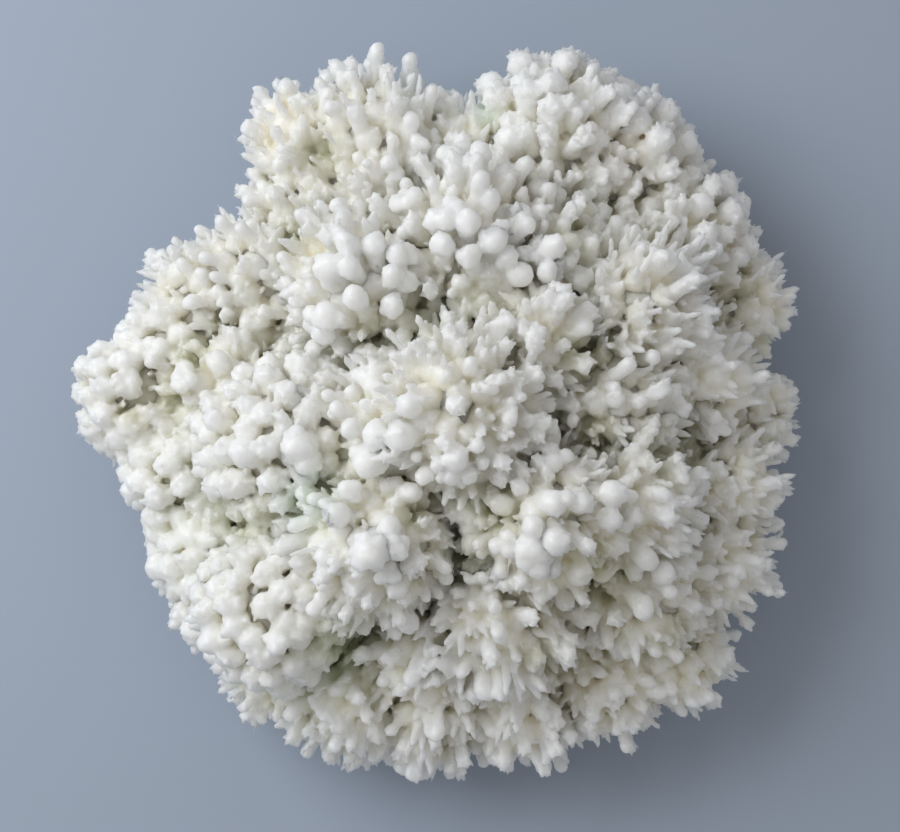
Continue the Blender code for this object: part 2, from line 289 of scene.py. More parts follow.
# The camera of the photo: nearly straight above
VIEW_WIDTH = 171.0 * MM
VIEW_DISTANCE = 410.0 * MM
VIEW_ELEVATION = math.radians(86.0)
RIM_LEVEL = 22.0 * MM
VIEW_TARGET = Vector((2.06, 0.1, 22.0)) * MM
VIEW_BACK = Vector((0.0, -math.cos(VIEW_ELEVATION), math.sin(VIEW_ELEVATION)))
VIEW_PLACE = VIEW_TARGET + VIEW_BACK * VIEW_DISTANCE

# Studio: the floor, the light all round, and each soft light's place, size, strength and colour
FLOOR_SIZE = 1.5
FLOOR_COLOUR = (0.36, 0.42, 0.52, 1.0)
SKY_COLOUR = (1.0, 0.99, 0.975, 1.0)
SKY_STRENGTH = 0.38
LIGHTS = {
    "key": ((-0.36, 0.18, 0.39), 0.4, 2.12, (0.96, 0.985, 1.0)),
    "fill": ((0.6, -0.5, 0.8), 0.8, 0.3, (1.0, 0.96, 0.9)),
}


def mesh_object(name, mesh):
    """An object for a mesh, in the scene's collection."""
    obj = bpy.data.objects.new(name, mesh)
    bpy.context.scene.collection.objects.link(obj)
    return obj


def mesh_of(name, shapes):
    """One mesh of many closed shapes, each an array of points and one of triangles."""
    points, triangles = joined(shapes)
    mesh = bpy.data.meshes.new(name)
    mesh.vertices.add(len(points))
    mesh.vertices.foreach_set("co", points.ravel())
    mesh.loops.add(triangles.size)
    mesh.loops.foreach_set("vertex_index", triangles.ravel())
    mesh.polygons.add(len(triangles))
    mesh.polygons.foreach_set("loop_start", np.arange(0, triangles.size, 3))
    mesh.update(calc_edges=True)
    return mesh


def fused(name, shapes, cube, smoothing):
    """One skin around many overlapping shapes."""
    obj = mesh_object(name, mesh_of(name, shapes))
    fuse = obj.modifiers.new("fuse", "REMESH")
    fuse.mode = "VOXEL"
    fuse.voxel_size = cube
    soften = obj.modifiers.new("soften", "SMOOTH")
    soften.iterations = smoothing
    replace_mesh(obj)
    return obj


def roughened(obj):
    """Raise and sink a piece's skin by uneven bumps of two widths."""
    for width, height in BUMPS:
        pattern = bpy.data.textures.new("bumps", "CLOUDS")
        pattern.noise_scale = width
        rough = obj.modifiers.new("bumps", "DISPLACE")
        rough.texture = pattern
        rough.texture_coords = "LOCAL"
        rough.strength = height
    replace_mesh(obj)


def thinned(obj, most_triangles, depths):
    """Bring a piece down to a number of triangles: only its hidden points first, then all of it."""
    hidden = obj.vertex_groups.new(name="hidden")
    under = np.flatnonzero(depths.outside(points_of(obj.data)) < -HIDDEN_DEPTH)
    hidden.add(under.tolist(), 1.0, "REPLACE")
    for group in ("hidden", ""):
        count = sum(len(face.vertices) - 2 for face in obj.data.polygons)
        if count > most_triangles:
            thin = obj.modifiers.new("thin", "DECIMATE")
            thin.ratio = most_triangles / count
            thin.vertex_group = group
            replace_mesh(obj)


def points_of(mesh):
    """A mesh's points as an array."""
    points = np.empty(len(mesh.vertices) * 3, dtype=np.float32)
    mesh.vertices.foreach_get("co", points)
    return points.reshape(-1, 3).astype(float)


def replace_mesh(obj):
    """Work an object's modifiers into its mesh."""
    bpy.context.view_layer.update()
    graph = bpy.context.evaluated_depsgraph_get()
    mesh = bpy.data.meshes.new_from_object(obj.evaluated_get(graph))
    mesh.validate()
    obj.modifiers.clear()
    obj.data = mesh


# Shapes of single crystals: points in mm and triangles, standing on their root along +Z

def turned(profile, sides, rng, rough=0.0):
    """A closed turned form: rows of height and radius, the last one the tip."""
    start = rng.uniform(0.0, math.tau)
    points = []
    for height, radius in profile[:-1]:
        for side in range(sides):
            angle = start + math.tau * side / sides
            reach = radius * (1.0 + rng.normal(0.0, rough))
            points.append((reach * math.cos(angle), reach * math.sin(angle), height))
    points.append((0.0, 0.0, profile[-1][0]))
    rows = len(profile) - 1
    triangles = [(0, side + 1, side) for side in range(1, sides - 1)]
    for row in range(rows - 1):
        low, high = row * sides, (row + 1) * sides
        for side in range(sides):
            after = (side + 1) % sides
            triangles.append((low + side, low + after, high + after))
            triangles.append((low + side, high + after, high + side))
    top = (rows - 1) * sides
    for side in range(sides):
        triangles.append((top + side, top + (side + 1) % sides, rows * sides))
    return np.array(points), np.array(triangles)


def ball_shape(detail):
    """A closed ball of radius 1."""
    shape = bmesh.new()
    bmesh.ops.create_icosphere(shape, subdivisions=detail, radius=1.0)
    points = np.array([vert.co[:] for vert in shape.verts])
    triangles = np.array([[vert.index for vert in face.verts] for face in shape.faces])
    shape.free()
    return points, triangles


BALLS = [ball_shape(detail) for detail in (1, 2, 3)]


def ball(radius, rng, rough=0.06, detail=2):
    """A closed, slightly uneven ball."""
    points, triangles = BALLS[detail - 1]
    waves = rng.normal(0.0, 1.6, size=(4, 3))
    phases = rng.uniform(0.0, math.tau, size=4)
    bumps = np.sin(points @ waves.T + phases).sum(axis=1) / 4.0
    return points * radius * (1.0 + rough * bumps[:, None]), triangles


def placed(part, turn=None, offset=(0.0, 0.0, 0.0), scale=(1.0, 1.0, 1.0)):
    """A part scaled, turned and moved."""
    points, triangles = part
    points = points * np.array(scale)
    if turn is not None:
        points = points @ np.array(turn.to_matrix()).T
    return points + np.array(offset), triangles


def bent(part, rng, amount):
    """A part bent sideways, more towards its tip."""
    points, triangles = part
    lean = rng.normal(0.0, amount, size=2)
    points = points.copy()
    tallest = points[:, 2].max()
    points[:, :2] += lean * (points[:, 2:3] / tallest) ** 2 * tallest
    return points, triangles


def tilt(angle, around):
    """A turn that leans +Z by an angle towards a direction around it."""
    return Euler((0.0, angle, around), "XYZ").to_quaternion()


def leaning(parts, angle, around, apart):
    """Parts of one stalk leant together, their root a little off the middle."""
    offset = (apart * math.cos(around), apart * math.sin(around), 0.0)
    return [placed(part, tilt(angle, around), offset) for part in parts]


def prism(length, radius, rng):
    """A pointed crystal, a little flattened."""
    shares = ((0.0, 1.1), (0.5, 1.0), (0.85, 0.6))
    profile = [(length * height, radius * width * rng.uniform(0.9, 1.1)) for height, width in shares]
    spike = turned(profile + [(length, 0.0)], 5, rng, rough=0.08)
    flattened = placed(spike, scale=(1.1, rng.uniform(0.65, 1.0), 1.0))
    return bent(flattened, rng, amount=0.06)


def tooth(length, radius, rng):
    """A short pointed crystal whose root is sunk by its own width."""
    rows = ((-radius * 1.5, radius), (length * 0.5, radius * 0.85), (length, 0.0))
    return turned(rows, 4, rng, rough=0.12)


def rod(length, radius, rng):
    """A finger with a rounded end, uneven in width."""
    shares = ((0.0, 1.15), (0.3, 1.0), (0.55, 0.9))
    profile = [(length * height, radius * width * rng.uniform(0.9, 1.1)) for height, width in shares]
    for angle in (0.0, 0.6, 1.1):
        profile.append((length - radius + radius * math.sin(angle), radius * math.cos(angle)))
    return bent(turned(profile + [(length, 0.0)], 8, rng, rough=0.05), rng, amount=0.06)


def teeth_along(length, radius, lowest, spacing, rng):
    """Short teeth all round a stalk from a height to its end, and on the end itself."""
    parts = []
    height = lowest
    around = rng.uniform(0.0, math.tau)
    while height < length:
        inward = max(0.0, height - (length - radius)) / radius
        out = radius * 0.85 * math.sqrt(max(0.0, 1.0 - inward * inward))
        splay = rng.uniform(0.15, 0.5) * (1.0 - 0.5 * inward)
        size = rng.uniform(0.32, 0.5)
        offset = (out * math.cos(around), out * math.sin(around), height - size)
        parts.append(placed(tooth(rng.uniform(1.0, 2.2), size, rng), tilt(splay, around), offset))
        height += spacing * rng.uniform(0.5, 1.5)
        around += GOLDEN_TURN + rng.normal(0.0, 0.3)
    for _ in range(rng.integers(2, 5)):
        around = rng.uniform(0.0, math.tau)
        out = radius * rng.uniform(0.0, 0.5)
        offset = (out * math.cos(around), out * math.sin(around), length - radius * 0.5)
        tip = tooth(radius * 0.5 + rng.uniform(0.3, 0.9), rng.uniform(0.35, 0.55), rng)
        parts.append(placed(tip, tilt(rng.uniform(0.0, 0.35), around), offset))
    return parts


def teeth_round(radius, centre, count, sizes, reach, lowest, rng):
    """Teeth that bristle from a rounded lump; lowest is the cosine of their widest lean."""
    parts = []
    for _ in range(count):
        lean = tilt(math.acos(rng.uniform(lowest, 1.0)), rng.uniform(0.0, math.tau))
        start = lean @ Vector((0.0, 0.0, radius * 0.85))
        small = tooth(radius * 0.15 + rng.uniform(*reach), rng.uniform(*sizes), rng)
        parts.append(placed(small, lean, (start.x, start.y, start.z + centre)))
    return parts


def nodules_on(radius, centre, count, sizes, lowest, rng):
    """Small balls half sunk in a larger one; lowest is the cosine of their widest lean."""
    parts = []
    for _ in range(count):
        lean = tilt(math.acos(rng.uniform(lowest, 1.0)), rng.uniform(0.0, math.tau))
        size = rng.uniform(*sizes)
        place = lean @ Vector((0.0, 0.0, radius - size * 0.35))
        small = ball(size, rng, rough=0.1, detail=1)
        parts.append(placed(small, offset=(place.x, place.y, place.z + centre)))
    return parts


def fork(rng):
    """Two to four pointed crystals from one root, with small teeth at their sides."""
    parts = []
    count = rng.integers(2, 5)
    start = rng.uniform(0.0, math.tau)
    for number in range(count):
        length = rng.uniform(6.0, 10.0)
        radius = rng.uniform(0.8, 1.15)
        crystal = [prism(length, radius, rng)]
        for _ in range(rng.integers(0, 4)):
            side = rng.uniform(0.0, math.tau)
            height = length * rng.uniform(0.4, 0.75)
            offset = (radius * 0.6 * math.cos(side), radius * 0.6 * math.sin(side), height)
            small = tooth(rng.uniform(0.9, 1.8), rng.uniform(0.3, 0.45), rng)
            crystal.append(placed(small, tilt(rng.uniform(0.15, 0.4), side), offset))
        around = start + math.tau * number / count
        parts += leaning(crystal, rng.uniform(0.08, 0.32), around, apart=0.5)
    parts.append(rod(rng.uniform(3.0, 4.0), 1.5, rng))
    return parts


def fan(rng):
    """A blade of crystals grown side by side, its rim saw-toothed."""
    parts = []
    count = rng.integers(4, 7)
    spread = rng.uniform(0.3, 0.5)
    for number in range(count):
        side = (number + 0.5) / count * 2.0 - 1.0
        length = rng.uniform(5.5, 7.5) * (1.0 - 0.12 * side * side)
        radius = rng.uniform(0.7, 0.95)
        turn = Euler((rng.normal(0.0, 0.06), side * spread, 0.0), "XYZ").to_quaternion()
        offset = (side * 0.9, rng.normal(0.0, 0.2), 0.0)
        parts.append(placed(rod(length, radius, rng), turn, offset))
        for _ in range(rng.integers(2, 5)):
            lean = rng.normal(0.0, 0.3)
            start = (rng.normal(0.0, 0.4), rng.normal(0.0, 0.3), length - radius * rng.uniform(0.6, 2.0))
            small = placed(tooth(rng.uniform(1.0, 2.0), rng.uniform(0.35, 0.5), rng), tilt(lean, 0.0), start)
            parts.append(placed(small, turn, offset))
    return parts


def finger(rng):
    """One or two blunt fingers with small buds on their sides."""
    parts = []
    count = rng.integers(1, 3)
    start = rng.uniform(0.0, math.tau)
    for number in range(count):
        length = rng.uniform(5.5, 9.0)
        radius = rng.uniform(1.0, 1.5)
        stalk = [rod(length, radius, rng)]
        for _ in range(rng.integers(0, 3)):
            side = rng.uniform(0.0, math.tau)
            height = rng.uniform(0.5, 0.9) * length
            offset = (radius * 0.7 * math.cos(side), radius * 0.7 * math.sin(side), height)
            bud = ball(radius * rng.uniform(0.4, 0.7), rng, rough=0.1, detail=1)
            stalk.append(placed(bud, offset=offset))
        around = start + math.tau * number / count
        lean = rng.uniform(0.05, 0.3)
        parts += leaning(stalk, lean, around, apart=0.6)
        if rng.random() < 0.5:
            teeth = teeth_along(length, radius, lowest=length * 0.7, spacing=0.5, rng=rng)
            parts += leaning(teeth, lean, around, apart=0.6)
    return parts


def crown(rng):
    """A stout ragged head: one to three uneven stalks with teeth all round their upper ends."""
    parts = []
    count = rng.integers(1, 4)
    start = rng.uniform(0.0, math.tau)
    for number in range(count):
        length = rng.uniform(5.5, 8.0)
        radius = rng.uniform(0.9, 1.5)
        around = start + math.tau * number / count + rng.normal(0.0, 0.3)
        lean = rng.uniform(0.05, 0.32)
        parts += leaning([rod(length, radius, rng)], lean, around, apart=0.6)
        lowest = length * rng.uniform(0.4, 0.6)
        teeth = teeth_along(length, radius, lowest, spacing=0.28, rng=rng)
        parts += leaning(teeth, lean, around, apart=0.6)
    return parts


def knob(rng):
    """A ball on a stalk, its skin a little knobbly, often with a short finger beside it."""
    length = rng.uniform(6.5, 8.5)
    radius = rng.uniform(1.6, 2.3)
    stalk = ((0.0, 1.3), (length * 0.5, 1.3), (length * 0.8, 1.5), (length - radius * 0.5, 0.0))
    parts = [turned(stalk, 7, rng, rough=0.06)]
    parts.append(placed(ball(radius, rng, rough=0.12, detail=3), offset=(0.0, 0.0, length - radius)))
    count = rng.integers(0, 5)
    parts += nodules_on(radius, length - radius, count, sizes=(0.6, 1.2), lowest=-0.3, rng=rng)
    if rng.random() < 0.5:
        side = rod(length * rng.uniform(0.6, 0.8), rng.uniform(0.9, 1.2), rng)
        parts += leaning([side], rng.uniform(0.25, 0.45), rng.uniform(0.0, math.tau), apart=0.7)
    return parts


def grapes(rng):
    """Several balls grown together on one thick stalk."""
    length = rng.uniform(6.0, 7.5)
    parts = [turned(((0.0, 1.6), (length * 0.6, 1.7), (length * 0.8, 0.0)), 7, rng, rough=0.08)]
    count = rng.integers(3, 7)
    for number in range(count):
        around = math.tau * number / count + rng.normal(0.0, 0.3)
        radius = rng.uniform(1.1, 1.8)
        out = rng.uniform(0.8, 1.9)
        height = length - radius - rng.uniform(0.0, 1.5)
        offset = (out * math.cos(around), out * math.sin(around), height)
        parts.append(placed(ball(radius, rng, rough=0.1), offset=offset))
    return parts


def nodules(rng):
    """A low uneven lump studded with nodules, very short fingers and fine teeth."""
    radius = rng.uniform(1.5, 2.3)
    length = rng.uniform(5.0, 6.5)
    centre = length - radius
    parts = [turned(((0.0, 1.6), (length * 0.5, 1.9), (length * 0.8, 0.0)), 7, rng, rough=0.08)]
    parts.append(placed(ball(radius, rng, rough=0.25), offset=(0.0, 0.0, centre)))
    count = rng.integers(14, 24)
    parts += nodules_on(radius, centre, count, sizes=(0.45, 1.0), lowest=-0.2, rng=rng)
    for _ in range(rng.integers(2, 6)):
        small = rod(radius + rng.uniform(0.6, 1.5), rng.uniform(0.5, 0.75), rng)
        lean = tilt(math.acos(rng.uniform(0.3, 1.0)), rng.uniform(0.0, math.tau))
        parts.append(placed(small, lean, (0.0, 0.0, centre)))
    count = rng.integers(12, 24)
    parts += teeth_round(radius, centre, count, sizes=(0.28, 0.45), reach=(0.3, 0.9), lowest=-0.1, rng=rng)
    return parts


def sugar(rng):
    """A rounded lump of fine flat blades that fan out, with short points between them."""
    radius = rng.uniform(1.5, 2.3)
    length = rng.uniform(5.0, 6.5)
    centre = length - radius
    parts = [turned(((0.0, 1.5), (length * 0.5, 1.8), (length * 0.8, 0.0)), 7, rng, rough=0.08)]
    parts.append(placed(ball(radius, rng, rough=0.25), offset=(0.0, 0.0, centre)))
    count = rng.integers(12, 24)
    parts += teeth_round(radius, centre, count, sizes=(0.3, 0.5), reach=(0.3, 1.0), lowest=-0.2, rng=rng)
    for _ in range(rng.integers(9, 16)):
        reach = radius + rng.uniform(0.3, 1.5)
        blade = placed(tooth(reach, rng.uniform(0.9, 1.5), rng), scale=(1.0, 0.3, 1.0))
        turn = tilt(math.acos(rng.uniform(0.1, 1.0)), rng.uniform(0.0, math.tau))
        turn = turn @ Quaternion((0.0, 0.0, 1.0), rng.uniform(0.0, math.tau))
        parts.append(placed(blade, turn, (0.0, 0.0, centre)))
    return parts


def stub(rng):
    """A short point that fills the ground between larger crystals."""
    return [tooth(rng.uniform(2.5, 4.0), rng.uniform(0.5, 0.75), rng)]


KINDS = {"fork": fork, "fan": fan, "finger": finger, "crown": crown, "knob": knob, "grapes": grapes,
         "nodules": nodules, "sugar": sugar, "stub": stub}


def knob_shape(radius, stalk, rng):
    """A large knob around the origin on a stalk; the larger it is, the more small knobs bulge from it."""
    wide = radius * 0.6
    rows = ((-stalk, wide * 1.3), (-stalk * 0.5, wide), (-radius * 0.6, wide * 1.2), (0.0, 0.0))
    heart = radius * (SMALL_KNOB_HEART if radius < LARGE_KNOB else LARGE_KNOB_HEART)
    parts = [turned(rows, 8, rng, rough=0.06)]
    middle = ball(heart, rng, rough=0.16, detail=3)
    parts.append(placed(middle, scale=(1.0, 1.0, rng.uniform(1.1, 1.6))))
    count = rng.integers(int(radius * 2.0) - 1, int(radius * 3.2) + 1)
    sizes = (radius * 0.3, radius * 0.55)
    return joined(parts + nodules_on(heart, 0.0, count, sizes, lowest=-0.3, rng=rng))


def joined(parts):
    """Parts put together as one array of points and one of triangles."""
    starts = np.cumsum([0] + [len(points) for points, _ in parts])
    points = np.concatenate([points for points, _ in parts])
    triangles = np.concatenate([triangles + start for (_, triangles), start in zip(parts, starts)])
    return points, triangles


def template(kind, rng):
    """One crystal as points and triangles in metres, and its height."""
    points, triangles = joined(kind(rng))
    return points * MM, triangles, points[:, 2].max() * MM


def templates():
    """Several variants of each kind of crystal."""
    rng = np.random.default_rng(SEED)
    return {name: [template(kind, rng) for _ in range(VARIANTS)] for name, kind in KINDS.items()}


# The lobes

def seen_place(point):
    """Where a point is seen by the photo's camera, in mm on the level of the rim."""
    along = point - VIEW_PLACE
    seen = VIEW_PLACE + along * ((RIM_LEVEL - VIEW_PLACE.z) / along.z) + MIDDLE
    return Vector((seen.x, seen.y)) / MM


def sunk_or_raised(point):
    """How far the ground is raised at a point, in mm, by the hollows and hills seen there."""
    seen = seen_place(point)
    raised = 0.0
    for places, sign in ((HOLLOWS, -1.0), (HILLS, 1.0)):
        for x, y, radius, amount in places:
            share = 1.0 - (seen - Vector((x, y))).length_squared / (radius * SPREAD) ** 2
            if share > 0.0:
                raised += sign * amount * share * share
    return raised


def lobe_mass():
    """The lobes and the mass beneath them fused to one skin, cut off flat at height 0."""
    points, triangles = BALLS[2]
    shapes = [(points * np.array(BASE_RADII) + np.array(BASE_CENTRE - MIDDLE), triangles)]
    for x, y, z, radius, _, _ in LOBES.values():
        centre = Vector((x, y, z)) * MM
        for along, swell in LOBE_ROOTS:
            place = HEART.lerp(centre, along) - MIDDLE
            shapes.append((points * radius * swell * MM + np.array(place), triangles))
    obj = fused("lobes", shapes, LOBE_CUBE, LOBE_SMOOTHING)
    shape = bmesh.new()
    shape.from_mesh(obj.data)
    for vert in shape.verts:
        if vert.normal.dot(VIEW_BACK) > 0.0:
            vert.co += (vert.co - HEART + MIDDLE).normalized() * sunk_or_raised(vert.co) * MM
    everything = shape.verts[:] + shape.edges[:] + shape.faces[:]
    bmesh.ops.bisect_plane(shape, geom=everything, plane_co=(0, 0, 0), plane_no=(0, 0, 1), clear_inner=True)
    rim = [edge for edge in shape.edges if edge.is_boundary]
    bmesh.ops.contextual_create(shape, geom=rim)
    bmesh.ops.triangulate(shape, faces=shape.faces)
    shape.to_mesh(obj.data)
    for vert in obj.data.vertices:
        if vert.co.z > LOBE_SINK:
            vert.co -= vert.normal * LOBE_SINK
    return obj, shape


def nearest_lobe(point):
    """The values of the lobe whose surface is nearest to a point, and that lobe's centre."""
    best = None
    for values in LOBES.values():
        centre = Vector(values[:3]) * MM - MIDDLE
        depth = (point - centre).length - values[3] * MM
        if best is None or depth < best[0]:
            best = (depth, values, centre)
    return best[1], best[2]


def places_on(shape, spacing, rng):
    """Points all over the skin, at least one spacing apart, each with the skin's direction there."""
    faces = [face for face in shape.faces if face.calc_center_median().z > LOWEST_ROOT]
    corners = np.array([[vert.co[:] for vert in face.verts] for face in faces])
    crossed = np.cross(corners[:, 1] - corners[:, 0], corners[:, 2] - corners[:, 0])
    areas = np.linalg.norm(crossed, axis=1)
    tries = int(areas.sum() / 2.0 / spacing ** 2 * TRIES)
    chosen = rng.choice(len(corners), size=tries, p=areas / areas.sum())
    weights = rng.dirichlet((1.0, 1.0, 1.0), size=tries)
    points = np.einsum("tk,tkc->tc", weights, corners[chosen])
    directions = crossed[chosen] / areas[chosen, None]
    cells = {}
    places = []
    for point, direction in zip(points, directions):
        cell = tuple(int(value) for value in np.floor(point / spacing))
        others = [other for x in (-1, 0, 1) for y in (-1, 0, 1) for z in (-1, 0, 1)
                  for other in cells.get((cell[0] + x, cell[1] + y, cell[2] + z), ())]
        if others and np.min(np.linalg.norm(np.array(others) - point, axis=1)) < spacing:
            continue
        cells.setdefault(cell, []).append(point)
        places.append((Vector(point), Vector(direction)))
    return places


def growth_direction(root, skin_direction, centre, rng):
    """The way a spray points: off its lobe, away from the cluster's heart, a little askew."""
    along = (root - centre).normalized()
    outward = (root - GROWTH_HEART).normalized()
    askew = Vector(rng.normal(0.0, ASKEW, size=3))
    return (along * ALONG_SHARE + skin_direction * SKIN_SHARE + outward * OUTWARD_SHARE + askew).normalized()


def free_length(skin, root, direction, length):
    """How long a crystal can be before it would run into another lobe."""
    place, _, _, distance = skin.ray_cast(root + direction * LOOK_FROM * MM, direction, length * LOOK_AHEAD)
    return length if place is None else min(length, distance * FREE_SHARE)


def region_of(point):
    """The region whose piece a crystal belongs to."""
    flat = Vector((point.x, point.y)) - SUMMIT_MIDDLE
    if flat.length < SUMMIT_RADIUS:
        return "summit"
    around = math.degrees(math.atan2(flat.y, flat.x)) % 360.0
    return SECTORS[int(around / 360.0 * len(SECTORS))]


class Depths:
    """How far places are outside the lobes' skin and how deep in a valley, looked up in a grid."""

    def __init__(self, skin):
        self.low = np.array(cad_box[0]) - GRID_CELL
        self.counts = np.ceil((np.array(cad_box[1]) - self.low) / GRID_CELL).astype(int) + 2
        self.distances = np.empty(self.counts)
        for cell in np.ndindex(*self.counts):
            point = Vector(self.low + np.array(cell) * GRID_CELL)
            place, direction, _, distance = skin.find_nearest(point)
            self.distances[cell] = distance if (point - place).dot(direction) > 0.0 else -distance
        self.solid = np.clip(0.5 - self.distances / GRID_CELL, 0.0, 1.0)
        around = int(VALLEY_REACH / GRID_CELL)
        self.width = (2 * around + 1) * GRID_CELL
        for axis in range(3):
            shifted = [np.roll(self.solid, shift, axis) for shift in range(-around, around + 1)]
            self.solid = sum(shifted) / len(shifted)

    def looked_up(self, grid, points):
        """The grid's value at each point."""
        inside = (points - self.low) / GRID_CELL
        cells = np.clip(np.floor(inside).astype(int), 0, self.counts - 2)
        shares = np.clip(inside - cells, 0.0, 1.0)
        total = np.zeros(len(points))
        for corner in np.ndindex(2, 2, 2):
            weight = np.prod(np.where(np.array(corner) == 1, shares, 1.0 - shares), axis=1)
            at = cells + np.array(corner)
            total += weight * grid[at[:, 0], at[:, 1], at[:, 2]]
        return total

    def outside(self, points):
        """How far each point is outside the skin, less than 0 where it is under it."""
        return self.looked_up(self.distances, points)

    def valleys(self, points):
        """From 0 on a ridge to 1 in a deep valley: how much more than half of the space around is solid."""
        on_a_plain = 0.5 - self.outside(points) / self.width
        more = self.looked_up(self.solid, points) - on_a_plain
        return np.clip((more - VALLEY_START) / VALLEY_RANGE, 0.0, 1.0)


class Grower:
    """Places crystals and keeps them by region until they are fused."""

    def __init__(self, skin, shapes):
        self.skin = skin
        self.shapes = shapes
        self.regions = {name: [] for name in SECTORS + ("summit",)}

    def keep(self, root, points, triangles):
        """Keep a shape in the region of its root if it stays inside the solid's box."""
        low, high = points.min(axis=0), points.max(axis=0)
        inside = np.all(low > np.array(cad_box[0]) + INSIDE) and np.all(high < np.array(cad_box[1]) - INSIDE)
        if inside:
            self.regions[region_of(root)].append((points, triangles))
        return inside

    def crystal(self, kind, root, direction, length, size, rng):
        """Grow one crystal of a kind, standing out of its root by a length or, at the box, by less."""
        points, triangles, height = self.shapes[kind][rng.integers(0, VARIANTS)]
        turn = direction.to_track_quat("Z", "Y") @ Quaternion((0.0, 0.0, 1.0), rng.uniform(0.0, math.tau))
        size = max(size, (length + LEAST_DEPTH) / height)
        for share in SHORTENED:
            tip = root + direction * length * share
            matrix = np.array(Matrix.LocRotScale(tip - direction * height * size, turn, (size, size, size)))
            if self.keep(root, points @ matrix[:3, :3].T + matrix[:3, 3], triangles):
                return

    def lump(self, root, skin_direction, habit, rng):
        """Thicken the ground under a spray, most of all where it is a knobbly crust."""
        if habit == "crust":
            radius, level = rng.uniform(*CRUST_LUMP), CRUST_LUMP_LEVEL
            nodes = nodules_on(radius, 0.0, CRUST_LUMP_NODULES, CRUST_LUMP_NODULE, lowest=-1.0, rng=rng)
            points, triangles = joined([ball(radius, rng, rough=0.2)] + nodes)
        else:
            level = GROUND_LUMP_LEVEL
            points, triangles = ball(rng.uniform(*GROUND_LUMP), rng, rough=0.15)
        self.keep(root, points * MM + np.array(root + skin_direction * level), triangles)


def grow_knobs(grower, rng):
    """The large knobs, each on a stalk under the place where the photo shows it; their centres and radii."""
    grown = []
    for x, y, radius in KNOBS:
        towards = Vector((x, y, 0.0)) * MM - MIDDLE
        towards.z = RIM_LEVEL
        ray = (towards - VIEW_PLACE).normalized()
        ground, skin_direction, _, _ = grower.skin.ray_cast(VIEW_PLACE, ray)
        if ground is None:
            continue
        lobe, lobe_centre = nearest_lobe(ground)
        direction = growth_direction(ground, skin_direction, lobe_centre, rng)
        centre = ground - ray * (CRUST_KNOB_RISE if lobe[5] == "crust" else KNOB_RISE)
        points, triangles = knob_shape(radius, (centre - ground).length / MM + STALK_DEPTH, rng)
        turn = np.array(direction.to_track_quat("Z", "Y").to_matrix())
        grown_points = points * MM @ turn.T + np.array(centre)
        if grower.keep(ground, grown_points, triangles):
            grown.append((*centre, radius * MM))
    return np.array(grown)


def grow_sprays(grower, core, knobs, rng):
    """The larger crystals, of each lobe's own habit and reach, with room left around the large knobs."""
    for root, skin_direction in places_on(core, SPRAY_SPACING, rng):
        lobe, centre = nearest_lobe(root)
        reach, habit = lobe[4] * MM, lobe[5]
        shares = HABITS[habit]
        kind = rng.choice(list(shares), p=list(shares.values()))
        direction = growth_direction(root, skin_direction, centre, rng)
        if direction.dot(skin_direction) < LEAST_OFF_SKIN:
            continue
        shares_of_reach = CRUST_REACH_SHARES if habit == "crust" else REACH_SHARES
        length = free_length(grower.skin, root, direction, reach * rng.uniform(*shares_of_reach))
        grower.lump(root, skin_direction, habit, rng)
        tip = root + direction * length
        apart = np.linalg.norm(knobs[:, :3] - np.array(tip), axis=1) - knobs[:, 3]
        if tip.z < LOWEST_TIP or length < LEAST_SPRAY or apart.min() < KNOB_ROOM:
            continue
        grower.crystal(kind, root, direction, length, rng.uniform(*SPRAY_SIZES), rng)


def grow_stubs(grower, core, rng):
    """Short points all over the ground between the sprays."""
    for root, skin_direction in places_on(core, STUB_SPACING, rng):
        direction = (skin_direction + Vector(rng.normal(0.0, STUB_ASKEW, size=3))).normalized()
        length = free_length(grower.skin, root, direction, rng.uniform(*STUB_REACH) * MM)
        if root.z + direction.z * length < LOWEST_TIP or length < LEAST_STUB:
            continue
        grower.crystal("stub", root, direction, length, rng.uniform(*STUB_SIZES), rng)


# Colours with painted shade and light, and material

def near(seen, x, y, radius):
    """How near points are to a place: 1 at its middle, 0 from its radius outwards."""
    apart = np.hypot(seen[:, 0] - x, seen[:, 1] - y)
    return np.clip(1.0 - (apart / radius) ** 2, 0.0, 1.0) ** 2


def colours_with_painted_shade(points, rises, valleys):
    """The colour of each point, from its rise over the ground and the hollows and stains around it, with
    painted shade at the roots, in hollows and in valleys, and painted light tints.
    """
    away = points - np.array(VIEW_PLACE)
    seen = np.array(VIEW_PLACE + MIDDLE) + away * ((RIM_LEVEL - VIEW_PLACE.z) / away[:, 2:3])
    seen = seen / MM
    # Painted shade: a darker, olive colour at the crystals' roots, turning white towards their tips
    shares = [share for share, _ in PAINTED_ROOT_SHADE]
    colours = np.stack([np.interp(rises, shares, [colour[channel] for _, colour in PAINTED_ROOT_SHADE])
                        for channel in range(3)], axis=1)
    risen = np.clip(rises, 0.0, 1.0)
    # Painted shade: a dark olive colour laid into each hollow, fading up the crystals
    for x, y, radius, _ in HOLLOWS:
        hollow = near(seen, x, y, radius * HOLLOW_SHADE_REACH)
        hollow_shade_mix = (hollow * (1.0 - risen) ** HOLLOW_SHADE_FADE)[:, None]
        colours = colours * (1.0 - hollow_shade_mix) + np.array(HOLLOW_SHADE) * hollow_shade_mix
    # Painted shade: the colour darkened in the valleys between lobes, less at the crystals' tips
    shade = (valleys * (1.0 - VALLEY_SHADE_FADE * risen))[:, None]
    colours = colours * (1.0 - shade * (1.0 - np.array(VALLEY_SHADE)))
    # Small stains, and wide tints of painted light: cool at the top, warm on the shaded lower right
    for x, y, radius, tint_colour in STAINS_AND_LIGHT_TINTS:
        colours = colours * (1.0 - near(seen, x, y, radius)[:, None] * (1.0 - np.array(tint_colour)))
    return colours


